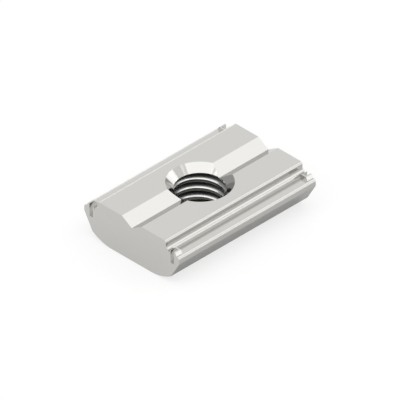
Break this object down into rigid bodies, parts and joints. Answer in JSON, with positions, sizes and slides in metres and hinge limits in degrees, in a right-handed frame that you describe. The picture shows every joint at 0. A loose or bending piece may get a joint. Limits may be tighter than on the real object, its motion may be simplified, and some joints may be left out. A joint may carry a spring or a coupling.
{
  "type": "t slot nut",
  "caption": "T-slot nut of zinc-plated steel with a central threaded bore, a guide groove along its top, two bearing shoulders and a rounded belly.",
  "frame": {"origin": "where the axis of the threaded bore meets the flat underside", "axes": "+Z along the bore, out of its upper mouth, the way the screw pulls; +X along the slot that the nut slides in"},
  "size_m": [0.018, 0.0126, 0.0045],
  "materials": {
    "zinc_plated_steel": "clear zinc plating, satin"
  },
  "bodies": {
    "root": {"t_slot_nut": "zinc_plated_steel"}
  },
  "joints": []
}
